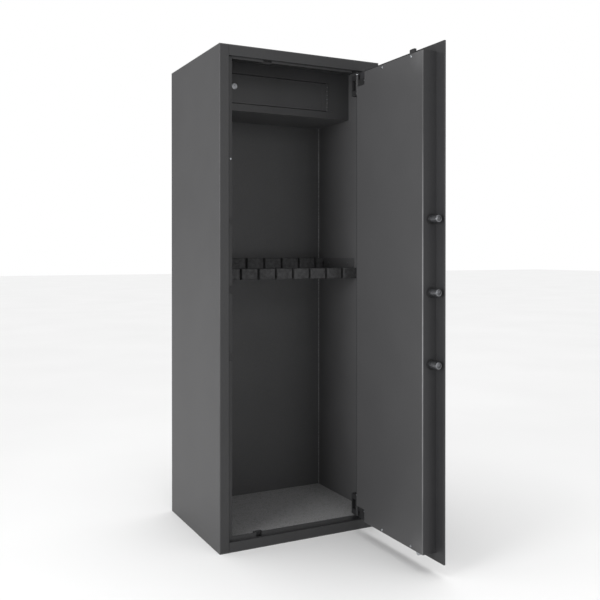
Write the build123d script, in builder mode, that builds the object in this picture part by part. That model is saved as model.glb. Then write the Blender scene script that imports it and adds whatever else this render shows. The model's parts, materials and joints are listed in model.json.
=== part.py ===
"""A tall gun safe with one hinged door, standing with its door open at a right angle.

The cabinet stands on its base at z = 0 with its front towards -Y.  The door is
modelled open: along the door, `u` runs from the hinge axis to the free edge
(towards -Y) and `d` runs from the inner face of the door plate into the door's
hollow (towards -X).
"""

from build123d import *
from math import cos, hypot, radians, sin
import os

os.makedirs("parts", exist_ok=True)

# ---------------------------------------------------------------- cabinet, outside
cabinet_width = 550
cabinet_depth = 450
cabinet_height = 1500
sheet = 3
thin_sheet = 2
edge_round = 1.5
back_space = 45

# ---------------------------------------------------------------- front frame
side_member = 30
top_member = 32
bottom_member = 30
rebate_depth = 10
stop_lip = 13
top_stop_lip = 7
rivet_height = 1164
rivet_inset = 4
rivet_radius = 3
rivet_head = 2
hinge_return = 46
hinge_member = 50

# ---------------------------------------------------------------- door
door_gap = 3.5
plate_thickness = 5
plate_round = 0.8
plate_setback = 1
axis_behind_plate = 6
axis_to_plate_edge = 17
edge_swing_gap = 2
box_depth = 45.5
lock_flange = 36
hinge_flange = 77
box_end_inset = 23
corner_notch_length = 45
corner_notch_height = 38
cover_margin = 14
cover_screw_radius = 3.2
screw_head = 2
cover_screw_inset = 8
cover_screw_places = (206, 353)

# ---------------------------------------------------------------- hinges
pin_radius = 3.5
ear_radius = 5.5
ear_height = 16
arm_height = 32
arm_length = 96
arm_end_inset = 1.5
web_thickness = 5
pin_head_height = 2
hinge_screw_radius = 3.5
hinge_screw_places = (44, 84)
hinge_screw_spread = 8
running_gap = 0.05
hinge_play = 0.5

# ---------------------------------------------------------------- bolt work
bolt_radius = 10
bolt_heights = (579, 777, 979)
bolt_axis_depth = 18
bolt_stand_out = 1
bolt_tip_round = 2
bolt_travel = 16
bush_wall = 3
bush_flange = 2
bush_rim = 2
cam_height = 870
cam_place = 342
cam_radius = 17
cam_thickness = 5
cam_depth = 4
pin_size = 3
slot_play = 0.5
fork_half_height = 9
fork_overlap = 5
guide_wall = 4
guide_play = 0.5
guide_half_height = 10
guide_place = 90
bar_thickness = 6
bar_depth = 11
top_bar_width = 25
bottom_bar_width = 16
bar_offset_top = 24.5
bar_offset_bottom = 20
bottom_bar_jog = 15
bar_jog_drop = 110
bar_reach = 25
bar_tip_chamfer = 2
carrier_depth = 19
carrier_thickness = 4
carrier_bar = 6
carrier_end_margin = 20
carrier_wall_gap = 5
carrier_arm_low = 2
carrier_arm_high = 20
carrier_arm_reach = 12
notch_gap = 2

# ---------------------------------------------------------------- handle and key lock
spindle_radius = 6
spindle_play = 0.5
escutcheon_radius = 28
escutcheon_thickness = 5
escutcheon_gap = 1
handle_hub_radius = 17
handle_hub_length = 24
handle_reach = 105
grip_depth = 11
grip_root_width = 20
grip_root_depth = 15
grip_end_width = 15
grip_end_depth = 10
handle_round = 3
escutcheon_round = 2
key_plate_round = 1.5
spindle_grip = 18
key_height = 985
key_place = 355
key_radius = 3
key_play = 2
key_shank = 14
key_bow_reach = 11
key_plate_radius = 15
key_plate_thickness = 3
lock_width = 42
lock_height = 80
lock_depth = 30
lock_travel = 9
lock_nose = 8
lock_screw_inset = 8
lock_screw_radius = 3
lock_bolt_depth = 16
lock_bolt_thickness = 8
lock_bolt_half = 14
lock_bolt_below = 20
lock_bolt_above = 27
crank_depth = 9
crank_thickness = 4
crank_radius = 10
crank_pin_radius = 2
crank_pin_play = 0.5
bow_half_width = 13
bow_half_height = 11
bow_hole_half_width = 8
bow_hole_half_height = 6.5
bow_thickness = 3
finger_width = 6

# ---------------------------------------------------------------- inner compartment
compartment_front_depth = 185
compartment_height = 155
inner_door_width = 370
inner_door_sill = 25
inner_door_flange = 12
inner_gap = 2
leaf_width = 20
leaf_thickness = 1
knuckle_radius = 2.2
knuckle_pin = 1.2
cam_lock_radius = 9.5
cam_lock_inset = 33
cam_lock_rise = 52.5
cam_lock_wall = 1.5
cam_lock_rim = 3
cam_lock_length = 13
knuckle_count = 7
knuckle_gap = 0.4
knuckle_set_in = 0.8
nut_radius = 13
nut_thickness = 5
plug_inset = 0.5
keyway_width = 1.6
keyway_height = 7
tongue_gap = 3
tongue_tail = 8
tongue_screw_radius = 5
tongue_screw_head = 4
keeper_width = 14
keeper_half_height = 20
plug_radius = 6
tongue_length = 45
tongue_half_width = 7

# ---------------------------------------------------------------- gun rests and floor
rest_top = 868
rest_height = 37
block_depth = 20
rail_width = 20
slot_width = 8
slot_count = 8
back_slot_pitch = 68
front_slot_pitch = 61.5
front_rest_place = 127
front_rest_drop = 33
front_block_rise = 4
block_round = 3
rest_end_gap = 1
rest_screw_place = 40
rest_screw_radius = 4.5
rest_screw_head = 2.5
floor_rise = 31
mat_thickness = 3
floor_front_gap = 35
anchor_radius = 6
anchor_spacing_x = 400
anchor_spacing_y = 240
anchor_access = 5

# ---------------------------------------------------------------- worked-out planes
left = -cabinet_width / 2
right = cabinet_width / 2
front = -cabinet_depth / 2
back = cabinet_depth / 2
top = cabinet_height
inner_left = left + sheet
inner_right = right - sheet
inner_top = top - sheet
liner_face = back - sheet - back_space - thin_sheet
lip_back = front + rebate_depth + sheet

plate_front = front + plate_setback
axis_y = plate_front + plate_thickness + axis_behind_plate
plate_corner = hypot(axis_to_plate_edge, plate_thickness + axis_behind_plate)
opening_left = left + side_member
opening_bottom = bottom_member
opening_top = top - top_member
opening_right = right - hinge_member
axis_x = opening_right - edge_swing_gap - plate_corner
plate_face_x = axis_x + axis_behind_plate
free_edge = axis_x - opening_left - door_gap
plate_bottom = opening_bottom + door_gap
plate_top = opening_top - door_gap
box_lock_side = free_edge - lock_flange
box_hinge_side = hinge_flange - axis_to_plate_edge
box_bottom = plate_bottom + box_end_inset
box_top = plate_top - box_end_inset
wall_depth = box_depth - thin_sheet
pin_circle = bolt_travel / (2 * sin(radians(45)))
carrier_place = box_lock_side - thin_sheet - bolt_travel - carrier_bar - carrier_wall_gap
shelf_bottom = inner_top - compartment_height
compartment_face = front + compartment_front_depth
floor_front = front + floor_front_gap
floor_top = floor_rise + thin_sheet


def block(x1, x2, y1, y2, z1, z2, mode=Mode.ADD):
    """A box between two corners, in the part under way."""
    with Locations(((x1 + x2) / 2, (y1 + y2) / 2, (z1 + z2) / 2)):
        Box(abs(x2 - x1), abs(y2 - y1), z2 - z1, mode=mode)


def door_block(u1, u2, d1, d2, z1, z2, mode=Mode.ADD):
    """A box given along the open door and into its depth."""
    block(plate_face_x - d2, plate_face_x - d1, axis_y - u2, axis_y - u1, z1, z2, mode)


def door_rod(u, z, d1, d2, radius, mode=Mode.ADD):
    """A round piece whose axis is square to the open door's plate."""
    with Locations(Location((plate_face_x - (d1 + d2) / 2, axis_y - u, z), (0, 90, 0))):
        Cylinder(radius, d2 - d1, mode=mode)


def rod_along_door(u1, u2, d, z, radius, mode=Mode.ADD):
    """A round piece whose axis lies along the open door."""
    with Locations(Location((plate_face_x - d, axis_y - (u1 + u2) / 2, z), (90, 0, 0))):
        Cylinder(radius, u2 - u1, mode=mode)


def rod_y(x, z, y1, y2, radius, mode=Mode.ADD):
    """A round piece whose axis runs front to back."""
    with Locations(Location((x, (y1 + y2) / 2, z), (90, 0, 0))):
        Cylinder(radius, y2 - y1, mode=mode)


def rod_z(x, y, z1, z2, radius, mode=Mode.ADD):
    """An upright round piece."""
    with Locations((x, y, (z1 + z2) / 2)):
        Cylinder(radius, z2 - z1, mode=mode)


def save(builder, name):
    """Label a finished piece and write it."""
    builder.part.label = name
    export_step(builder.part, f"parts/{name}.step")


# ================================================================ cabinet shell
for name, outer, inner in (("side_panel_left", left, inner_left), ("side_panel_right", right, inner_right)):
    with BuildPart() as side_panel:
        block(min(outer, inner), max(outer, inner), front, back, 0, top)
        outer_edges = side_panel.edges().filter_by(Axis.Z).filter_by_position(
            Axis.X, outer - 0.1, outer + 0.1
        )
        fillet(outer_edges, edge_round)
    save(side_panel, name)

with BuildPart() as top_panel:
    block(inner_left, inner_right, front, back, inner_top, top)
save(top_panel, "top_panel")

with BuildPart() as bottom_panel:
    block(inner_left, inner_right, front, back, 0, sheet)
    with Locations((0, 0, sheet / 2)):
        with GridLocations(anchor_spacing_x, anchor_spacing_y, 2, 2):
            Cylinder(anchor_radius, 2 * sheet, mode=Mode.SUBTRACT)
save(bottom_panel, "bottom_panel")

with BuildPart() as back_panel:
    block(inner_left, inner_right, back - sheet, back, sheet, inner_top)
save(back_panel, "back_panel")

with BuildPart() as back_liner:
    block(inner_left, inner_right, liner_face, liner_face + thin_sheet, sheet, inner_top)
    for x1, x2 in ((inner_left, inner_left + thin_sheet), (inner_right - thin_sheet, inner_right)):
        block(x1, x2, liner_face + thin_sheet, back - sheet, sheet, inner_top)
save(back_liner, "back_liner")

# ================================================================ front frame
lip_left = opening_left + stop_lip
with BuildPart() as frame_lock_side:
    with BuildSketch(Plane.XY.offset(sheet)):
        with Locations(((inner_left + opening_left) / 2, front + sheet / 2)):
            Rectangle(opening_left - inner_left, sheet)
        with Locations((opening_left - sheet / 2, (front + lip_back) / 2)):
            Rectangle(sheet, lip_back - front)
        with Locations(((opening_left - sheet + lip_left) / 2, lip_back - sheet / 2)):
            Rectangle(lip_left - opening_left + sheet, sheet)
    extrude(amount=inner_top - sheet)
    opening_edge = (
        frame_lock_side.edges().filter_by(Axis.Z).filter_by_position(
            Axis.X, opening_left - 0.1, opening_left + 0.1
        ).filter_by_position(Axis.Y, front - 0.1, front + 0.1)
    )
    fillet(opening_edge, edge_round)
    for height in bolt_heights:
        notch_half = bolt_radius + notch_gap
        block(opening_left, lip_left + 1, lip_back - 2 * sheet, lip_back + 1,
              height - notch_half, height + notch_half, Mode.SUBTRACT)
save(frame_lock_side, "frame_lock_side")

with BuildPart() as frame_hinge_side:
    with BuildSketch(Plane.XY.offset(sheet)):
        with Locations(((inner_right + opening_right) / 2, front + sheet / 2)):
            Rectangle(inner_right - opening_right, sheet)
        with Locations((opening_right + sheet / 2, front + hinge_return / 2)):
            Rectangle(sheet, hinge_return)
    extrude(amount=inner_top - sheet)
    hinge_edge = (
        frame_hinge_side.edges().filter_by(Axis.Z).filter_by_position(
            Axis.X, opening_right - 0.1, opening_right + 0.1
        ).filter_by_position(Axis.Y, front - 0.1, front + 0.1)
    )
    fillet(hinge_edge, edge_round)
    block(opening_right - 1, opening_right + sheet + 1, floor_front, front + hinge_return + 1,
          0, floor_top + mat_thickness + 1, Mode.SUBTRACT)
save(frame_hinge_side, "frame_hinge_side")

lip_right = axis_x - plate_corner - edge_swing_gap
strike_back = plate_front + plate_thickness + bar_depth + bar_thickness + notch_gap + sheet
top_bar_place = cam_place - bar_offset_top
bottom_bar_place = cam_place + bar_offset_bottom
bottom_tip_place = bottom_bar_place - bottom_bar_jog
for name, opening_z, outer_z, inward, lip_height, bar_place, bar_width in (
    ("frame_top", opening_top, inner_top, -1, top_stop_lip, top_bar_place, top_bar_width),
    ("frame_bottom", opening_bottom, sheet, 1, stop_lip, bottom_tip_place, bottom_bar_width),
):
    with BuildPart() as rail:
        face_low, face_high = sorted((opening_z, outer_z))
        block(opening_left, opening_right, front, front + sheet, face_low, face_high)
        wall_low, wall_high = sorted((opening_z, opening_z - inward * sheet))
        block(opening_left, opening_right, front, lip_back - sheet, wall_low, wall_high)
        lip_low, lip_high = sorted((opening_z - inward * sheet, opening_z + inward * lip_height))
        block(lip_left, lip_right, lip_back - sheet, lip_back, lip_low, lip_high)
        notch_low, notch_high = sorted((opening_z, opening_z + inward * (lip_height + 1)))
        bar_x = axis_x - bar_place
        notch_half = bar_width / 2 + notch_gap
        strike_low, strike_high = sorted((opening_z, opening_z + inward * lip_height))
        block(bar_x - notch_half - sheet, bar_x + notch_half + sheet, lip_back - sheet, strike_back,
              strike_low, strike_high)
        block(bar_x - notch_half, bar_x + notch_half, lip_back - 2 * sheet, strike_back - sheet,
              notch_low, notch_high, Mode.SUBTRACT)
    save(rail, name)

with BuildPart() as frame_rivet:
    rod_y(lip_left - rivet_inset, rivet_height, lip_back - sheet - rivet_head, lip_back - sheet, rivet_radius)
    fillet(frame_rivet.faces().sort_by(Axis.Y)[0].edges(), 0.6 * rivet_head)
save(frame_rivet, "frame_rivet")

# ================================================================ hinges
web_front = axis_y + plate_corner + edge_swing_gap
hinge_middles = {
    "top": box_top - arm_end_inset - arm_height / 2,
    "bottom": box_bottom + arm_end_inset + arm_height / 2,
}
ear_offset = arm_height / 2 + hinge_play + ear_height / 2
ear_half = ear_radius - hinge_play

for name, middle in hinge_middles.items():
    with BuildPart() as hinge_bracket:
        for side in (-1, 1):
            ear_middle = middle + side * ear_offset
            rod_z(axis_x, axis_y, ear_middle - ear_height / 2, ear_middle + ear_height / 2, ear_radius)
            block(axis_x - ear_half, axis_x + ear_half, axis_y, web_front + 1,
                  ear_middle - ear_height / 2, ear_middle + ear_height / 2)
        block(axis_x - ear_half, opening_right, web_front, web_front + web_thickness,
              middle - ear_offset - ear_height / 2, middle + ear_offset + ear_height / 2)
        rod_z(axis_x, axis_y, 0, top, pin_radius, Mode.SUBTRACT)
    save(hinge_bracket, f"hinge_bracket_{name}")

with BuildPart() as hinge_pins:
    for middle in hinge_middles.values():
        reach = ear_offset + ear_height / 2
        rod_z(axis_x, axis_y, middle - reach, middle + reach, pin_radius)
        rod_z(axis_x, axis_y, middle + reach, middle + reach + pin_head_height, ear_half)
save(hinge_pins, "hinge_pins")

for name, middle in hinge_middles.items():
    with BuildPart() as hinge_arm:
        with BuildSketch(Plane.XY.offset(middle - arm_height / 2)):
            with Locations((axis_x, axis_y)):
                Circle(axis_behind_plate)
            with Locations((axis_x + axis_behind_plate / 2, axis_y - arm_length / 2)):
                Rectangle(axis_behind_plate, arm_length)
            with Locations((axis_x, axis_y)):
                Circle(pin_radius + running_gap, mode=Mode.SUBTRACT)
        extrude(amount=arm_height)
    save(hinge_arm, f"hinge_arm_{name}")

with BuildPart() as hinge_screws:
    for middle in hinge_middles.values():
        for place in hinge_screw_places:
            for side in (-hinge_screw_spread, hinge_screw_spread):
                door_rod(place, middle + side, axis_behind_plate, axis_behind_plate + screw_head,
                         hinge_screw_radius)
save(hinge_screws, "hinge_screws")

# ================================================================ door shell
with BuildPart() as door_plate:
    door_block(-axis_to_plate_edge, free_edge, -plate_thickness, 0, plate_bottom, plate_top)
    fillet(door_plate.edges().filter_by(Axis.Z), plate_round)
    door_rod(cam_place, cam_height, -2 * plate_thickness, plate_thickness, spindle_radius + 2, Mode.SUBTRACT)
    door_rod(key_place, key_height, -2 * plate_thickness, plate_thickness, key_radius + key_play,
             Mode.SUBTRACT)
save(door_plate, "door_plate")


def box_outline(inset):
    """The door box seen from inside, with a notch at each hinge corner, drawn on the plate's plane."""
    hinge_y = axis_y - box_hinge_side - inset
    notch_y = axis_y - box_hinge_side - corner_notch_length - inset
    lock_y = axis_y - box_lock_side + inset
    low, high = box_bottom + inset, box_top - inset
    notch_low = box_bottom + corner_notch_height + inset
    notch_high = box_top - corner_notch_height - inset
    points = (
        (hinge_y, notch_low), (notch_y, notch_low), (notch_y, low), (lock_y, low),
        (lock_y, high), (notch_y, high), (notch_y, notch_high), (hinge_y, notch_high),
    )
    Polygon(*points, align=None)


box_plane = Plane(origin=(plate_face_x, 0, 0), x_dir=(0, 1, 0), z_dir=(1, 0, 0))
cover_plane = Plane(origin=(plate_face_x - wall_depth, 0, 0), x_dir=(0, 1, 0), z_dir=(1, 0, 0))
with BuildPart() as door_box:
    with BuildSketch(box_plane):
        box_outline(0)
    extrude(amount=-wall_depth)
    with BuildSketch(box_plane):
        box_outline(thin_sheet)
    extrude(amount=-(wall_depth - thin_sheet), mode=Mode.SUBTRACT)
    with BuildSketch(cover_plane):
        box_outline(cover_margin)
    extrude(amount=2 * thin_sheet, mode=Mode.SUBTRACT)
    for height in bolt_heights:
        rod_along_door(box_lock_side - 10, box_lock_side + 10, bolt_axis_depth, height,
                       bolt_radius + bush_wall, Mode.SUBTRACT)
    door_block(top_bar_place - top_bar_width / 2 - 1, top_bar_place + top_bar_width / 2 + 1,
               bar_depth - 1, bar_depth + bar_thickness + 1, box_top - 5, box_top + 5, Mode.SUBTRACT)
    door_block(bottom_tip_place - bottom_bar_width / 2 - 1, bottom_tip_place + bottom_bar_width / 2 + 1,
               bar_depth - 1, bar_depth + bar_thickness + 1, box_bottom - 5, box_bottom + 5, Mode.SUBTRACT)
save(door_box, "door_box")

with BuildPart() as door_cover:
    with BuildSketch(cover_plane):
        box_outline(0)
    extrude(amount=-thin_sheet)
    cover_face = door_cover.faces().sort_by(Axis.X)[0]
    fillet(cover_face.edges(), edge_round)
save(door_cover, "door_cover")

with BuildPart() as cover_screws:
    for place in cover_screw_places:
        for height in (box_bottom + cover_screw_inset, box_top - cover_screw_inset):
            door_rod(place, height, box_depth, box_depth + screw_head, cover_screw_radius)
    head_x = plate_face_x - box_depth - screw_head
    fillet(cover_screws.faces().filter_by_position(Axis.X, head_x - 0.1, head_x + 0.1).edges(),
           0.6 * screw_head)
save(cover_screws, "cover_screws")

# ================================================================ bolt work
bolt_tip = free_edge + bolt_stand_out
carrier_end = carrier_place + carrier_bar
with BuildPart() as locking_bolts:
    for height in bolt_heights:
        rod_along_door(carrier_end, bolt_tip, bolt_axis_depth, height, bolt_radius)
    fillet(locking_bolts.faces().filter_by_position(
        Axis.Y, axis_y - bolt_tip - 0.1, axis_y - bolt_tip + 0.1).edges(), bolt_tip_round)
save(locking_bolts, "locking_bolts")

with BuildPart() as bolt_bushes:
    for height in bolt_heights:
        rod_along_door(box_lock_side - thin_sheet - 3, box_lock_side, bolt_axis_depth, height,
                       bolt_radius + bush_wall)
        rod_along_door(box_lock_side, box_lock_side + bush_flange, bolt_axis_depth, height,
                       bolt_radius + bush_wall + bush_rim)
        rod_along_door(box_lock_side - 20, box_lock_side + 20, bolt_axis_depth, height,
                       bolt_radius + running_gap, Mode.SUBTRACT)
save(bolt_bushes, "bolt_bushes")

arm_low = cam_height + carrier_arm_low
arm_high = cam_height + carrier_arm_high
finger_place = key_place - lock_nose / 2 - 1 - finger_width
finger_end = key_height - lock_height / 2 - lock_travel
slot_centre = cam_place + pin_circle * cos(radians(135))
slot_half = pin_size + slot_play
with BuildPart() as bolt_carrier:
    door_block(carrier_place, carrier_end, bolt_axis_depth - bolt_radius, bolt_axis_depth + bolt_radius,
               bolt_heights[0] - carrier_end_margin, bolt_heights[-1] + carrier_end_margin)
    door_block(slot_centre - carrier_arm_reach, carrier_end, carrier_depth,
               carrier_depth + carrier_thickness, arm_low, arm_high)
    door_block(finger_place, finger_place + finger_width, carrier_depth,
               carrier_depth + carrier_thickness, arm_low, finger_end)
    door_block(slot_centre - slot_half, slot_centre + slot_half, carrier_depth - 1,
               carrier_depth + carrier_thickness + 1,
               cam_height + pin_circle * sin(radians(45)) - slot_half,
               cam_height + pin_circle + slot_half, Mode.SUBTRACT)
save(bolt_carrier, "bolt_carrier")

for name, place, tip_place, width, side in (
    ("top_bolt_bar", top_bar_place, top_bar_place, top_bar_width, 1),
    ("bottom_bolt_bar", bottom_bar_place, bottom_tip_place, bottom_bar_width, -1),
):
    fork_height = cam_height - side * pin_circle * sin(radians(45))
    tip = box_top + bar_reach if side > 0 else box_bottom - bar_reach
    jog = fork_height + side * bar_jog_drop
    with BuildPart() as bolt_bar:
        low, high = sorted((fork_height - side * fork_half_height, jog))
        door_block(place - width / 2, place + width / 2, bar_depth, bar_depth + bar_thickness, low, high)
        door_block(min(place, tip_place) - width / 2, max(place, tip_place) + width / 2,
                   bar_depth, bar_depth + bar_thickness, jog - width / 2, jog + width / 2)
        low, high = sorted((jog, tip))
        door_block(tip_place - width / 2, tip_place + width / 2, bar_depth, bar_depth + bar_thickness,
                   low, high)
        fork_end = cam_place - side * fork_overlap
        fork_root = place + side * width / 2
        u1, u2 = sorted((fork_end, fork_root))
        door_block(u1, u2, bar_depth, bar_depth + bar_thickness,
                   fork_height - fork_half_height, fork_height + fork_half_height)
        slot_root = cam_place - side * (pin_circle + slot_half)
        u1, u2 = sorted((fork_end + side, slot_root))
        door_block(u1, u2, bar_depth - 1, bar_depth + bar_thickness + 1,
                   fork_height - slot_half, fork_height + slot_half, Mode.SUBTRACT)
        tip_edges = bolt_bar.edges().filter_by(Axis.X).filter_by_position(Axis.Z, tip - 0.1, tip + 0.1)
        if side > 0:
            chamfer(tip_edges, bar_tip_chamfer)
        else:
            fillet(tip_edges, width / 2 - 0.5)
    save(bolt_bar, name)

with BuildPart() as bar_guides:
    for place, width, height in (
        (top_bar_place, top_bar_width, box_top - guide_place),
        (bottom_tip_place, bottom_bar_width, box_bottom + guide_place),
    ):
        half = width / 2 + guide_play
        door_block(place - half - guide_wall, place + half + guide_wall, 0,
                   bar_depth + bar_thickness + guide_wall,
                   height - guide_half_height, height + guide_half_height)
        door_block(place - half, place + half, bar_depth - guide_play,
                   bar_depth + bar_thickness + guide_play,
                   height - guide_half_height - 1, height + guide_half_height + 1, Mode.SUBTRACT)
save(bar_guides, "bar_guides")

with BuildPart() as cam_disc:
    door_rod(cam_place, cam_height, cam_depth, cam_depth + cam_thickness, cam_radius)
    for turn, reach in ((135, carrier_depth + carrier_thickness + 1), (225, bar_depth + bar_thickness + 0.6),
                        (45, bar_depth + bar_thickness + 0.6)):
        door_rod(cam_place + pin_circle * cos(radians(turn)), cam_height + pin_circle * sin(radians(turn)),
                 cam_depth + cam_thickness, reach, pin_size)
    door_rod(cam_place, cam_height, cam_depth - 1, cam_depth + cam_thickness + 1, spindle_radius - 1,
             Mode.SUBTRACT)
save(cam_disc, "cam_disc")

plate_outer = -plate_thickness
escutcheon_outer = plate_outer - escutcheon_thickness
with BuildPart() as spindle_bush:
    door_rod(cam_place, cam_height, plate_outer, 2, spindle_radius + 2)
    door_rod(cam_place, cam_height, 2 * plate_outer, 4, spindle_radius + running_gap, Mode.SUBTRACT)
save(spindle_bush, "spindle_bush")

with BuildPart() as handle_spindle:
    door_rod(cam_place, cam_height, escutcheon_outer - spindle_grip, cam_depth, spindle_radius)
    door_rod(cam_place, cam_height, cam_depth, cam_depth + cam_thickness, spindle_radius - 1)
save(handle_spindle, "handle_spindle")

with BuildPart() as handle_escutcheon:
    door_rod(cam_place, cam_height, escutcheon_outer, plate_outer, escutcheon_radius)
    fillet(handle_escutcheon.faces().sort_by(Axis.X)[-1].edges(), escutcheon_round)
    door_rod(cam_place, cam_height, escutcheon_outer - 1, plate_outer + 1,
             spindle_radius + spindle_play, Mode.SUBTRACT)
save(handle_escutcheon, "handle_escutcheon")

hub_inner = escutcheon_outer - escutcheon_gap
hub_outer = hub_inner - handle_hub_length
with BuildPart() as handle:
    door_rod(cam_place, cam_height, hub_outer, hub_inner, handle_hub_radius)
    grip_plane = Plane(origin=(plate_face_x - hub_outer - grip_depth, axis_y - cam_place, cam_height),
                       x_dir=(1, 0, 0), z_dir=(0, 1, 0))
    with BuildSketch(grip_plane):
        SlotOverall(grip_root_width, grip_root_depth)
    with BuildSketch(grip_plane.offset(handle_reach)):
        SlotOverall(grip_end_width, grip_end_depth)
    loft()
    fillet(handle.faces().sort_by(Axis.Y)[-1].edges(), handle_round)
    fillet(handle.faces().sort_by(Axis.X)[-1].edges(), handle_round)
    door_rod(cam_place, cam_height, escutcheon_outer - spindle_grip, hub_inner + 1, spindle_radius,
             Mode.SUBTRACT)
save(handle, "handle")

# ================================================================ key lock
lock_low = key_height - lock_height / 2
lock_high = key_height + lock_height / 2
lock_near = key_place - lock_width / 2
lock_far = key_place + lock_width / 2
lock_pin_circle = lock_travel / (2 * sin(radians(45)))
lock_pin_z = key_height + lock_pin_circle * sin(radians(45))
lock_bolt_end = lock_bolt_depth + lock_bolt_thickness
with BuildPart() as lock_case:
    door_block(lock_near, lock_far, 0, lock_depth - thin_sheet, lock_low, lock_high)
    door_block(lock_near + 2, lock_far - 2, 2, lock_depth, lock_low + 2, lock_high - 2, Mode.SUBTRACT)
    door_rod(key_place, key_height, -1, 3, key_radius + key_play, Mode.SUBTRACT)
    door_block(key_place - lock_nose / 2 - slot_play, key_place + lock_nose / 2 + slot_play,
               lock_bolt_depth - slot_play, lock_bolt_end + slot_play, lock_low - 1, lock_low + 3,
               Mode.SUBTRACT)
save(lock_case, "lock_case")

with BuildPart() as lock_cover:
    door_block(lock_near, lock_far, lock_depth - thin_sheet, lock_depth, lock_low, lock_high)
    for side in (-1, 1):
        door_rod(key_place, key_height + side * (lock_height / 2 - lock_screw_inset),
                 lock_depth, lock_depth + screw_head, lock_screw_radius)
save(lock_cover, "lock_cover")

with BuildPart() as lock_bolt:
    door_block(key_place - lock_bolt_half, key_place + lock_bolt_half, lock_bolt_depth, lock_bolt_end,
               key_height - lock_bolt_below, key_height + lock_bolt_above)
    door_block(key_place - lock_nose / 2, key_place + lock_nose / 2, lock_bolt_depth, lock_bolt_end,
               lock_low - 1, key_height - lock_bolt_below)
    door_block(key_place - key_radius - 1, key_place + key_radius + 1, lock_bolt_depth - 1,
               lock_bolt_end + 1, key_height - key_radius - 1,
               key_height + lock_travel + key_radius + 1, Mode.SUBTRACT)
    pin_room = crank_pin_radius + crank_pin_play
    door_block(key_place, key_place + lock_pin_circle + pin_room, lock_bolt_depth - 1, lock_bolt_end + 1,
               lock_pin_z - pin_room, lock_pin_z + pin_room, Mode.SUBTRACT)
save(lock_bolt, "lock_bolt")

crank_end = crank_depth + crank_thickness
with BuildPart() as lock_crank:
    door_rod(key_place, key_height, crank_depth, crank_end, crank_radius)
    door_rod(key_place + lock_pin_circle * cos(radians(45)), lock_pin_z, crank_end, lock_bolt_end - 1,
             crank_pin_radius)
    door_rod(key_place, key_height, crank_depth - 1, crank_end + 1, key_radius, Mode.SUBTRACT)
save(lock_crank, "lock_crank")

key_end = escutcheon_outer - key_shank
with BuildPart() as key:
    door_rod(key_place, key_height, key_end, lock_depth - thin_sheet - 1, key_radius)
    bow_plane = Plane(origin=(plate_face_x - key_end + key_bow_reach, axis_y - key_place, key_height),
                      x_dir=(1, 0, 0), z_dir=(0, 1, 0))
    with BuildSketch(bow_plane.offset(-bow_thickness / 2)):
        Ellipse(bow_half_width, bow_half_height)
        Ellipse(bow_hole_half_width, bow_hole_half_height, mode=Mode.SUBTRACT)
    extrude(amount=bow_thickness)
save(key, "key")

with BuildPart() as key_escutcheon:
    door_rod(key_place, key_height, plate_outer - key_plate_thickness, plate_outer, key_plate_radius)
    fillet(key_escutcheon.faces().sort_by(Axis.X)[-1].edges(), key_plate_round)
    door_rod(key_place, key_height, plate_outer - key_plate_thickness - 1, plate_outer + 1, key_radius + 1,
             Mode.SUBTRACT)
save(key_escutcheon, "key_escutcheon")

# ================================================================ inner compartment
inner_door_top = opening_top - top_stop_lip - inner_gap
inner_door_bottom = shelf_bottom + inner_door_sill
inner_door_height = inner_door_top - inner_door_bottom
inner_half = inner_door_width / 2
with BuildPart() as compartment_shelf:
    block(inner_left, inner_right, compartment_face + thin_sheet, liner_face,
          shelf_bottom, shelf_bottom + thin_sheet)
save(compartment_shelf, "compartment_shelf")

with BuildPart() as compartment_front:
    block(inner_left, inner_right, compartment_face, compartment_face + thin_sheet, shelf_bottom, inner_top)
    block(-inner_half - inner_gap, inner_half + inner_gap, compartment_face - 1,
          compartment_face + thin_sheet + 1, inner_door_bottom - inner_gap, inner_door_top + inner_gap,
          Mode.SUBTRACT)
save(compartment_front, "compartment_front")

with BuildPart() as inner_door:
    block(-inner_half, inner_half, compartment_face, compartment_face + inner_door_flange,
          inner_door_bottom, inner_door_top)
    fillet(inner_door.edges().filter_by(Axis.Z).filter_by_position(
        Axis.Y, compartment_face - 0.1, compartment_face + 0.1), 1)
    block(-inner_half + thin_sheet, inner_half - thin_sheet, compartment_face + thin_sheet,
          compartment_face + inner_door_flange + 1, inner_door_bottom + thin_sheet,
          inner_door_top - thin_sheet, Mode.SUBTRACT)
    cam_lock_x = -inner_half + cam_lock_inset
    cam_lock_z = inner_door_bottom + cam_lock_rise
    rod_y(cam_lock_x, cam_lock_z, compartment_face - 1, compartment_face + thin_sheet + 1,
          cam_lock_radius - cam_lock_wall, Mode.SUBTRACT)
save(inner_door, "inner_door")

hinge_x = inner_half + inner_gap / 2
hinge_y = compartment_face - leaf_thickness - knuckle_radius + knuckle_set_in
knuckle_length = inner_door_height / knuckle_count


def knuckles(first):
    """Every second knuckle of the inner door's long hinge, counted from the bottom."""
    for step in range(first, knuckle_count, 2):
        low = inner_door_bottom + step * knuckle_length + knuckle_gap
        rod_z(hinge_x, hinge_y, low, low + knuckle_length - 2 * knuckle_gap, knuckle_radius)


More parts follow.
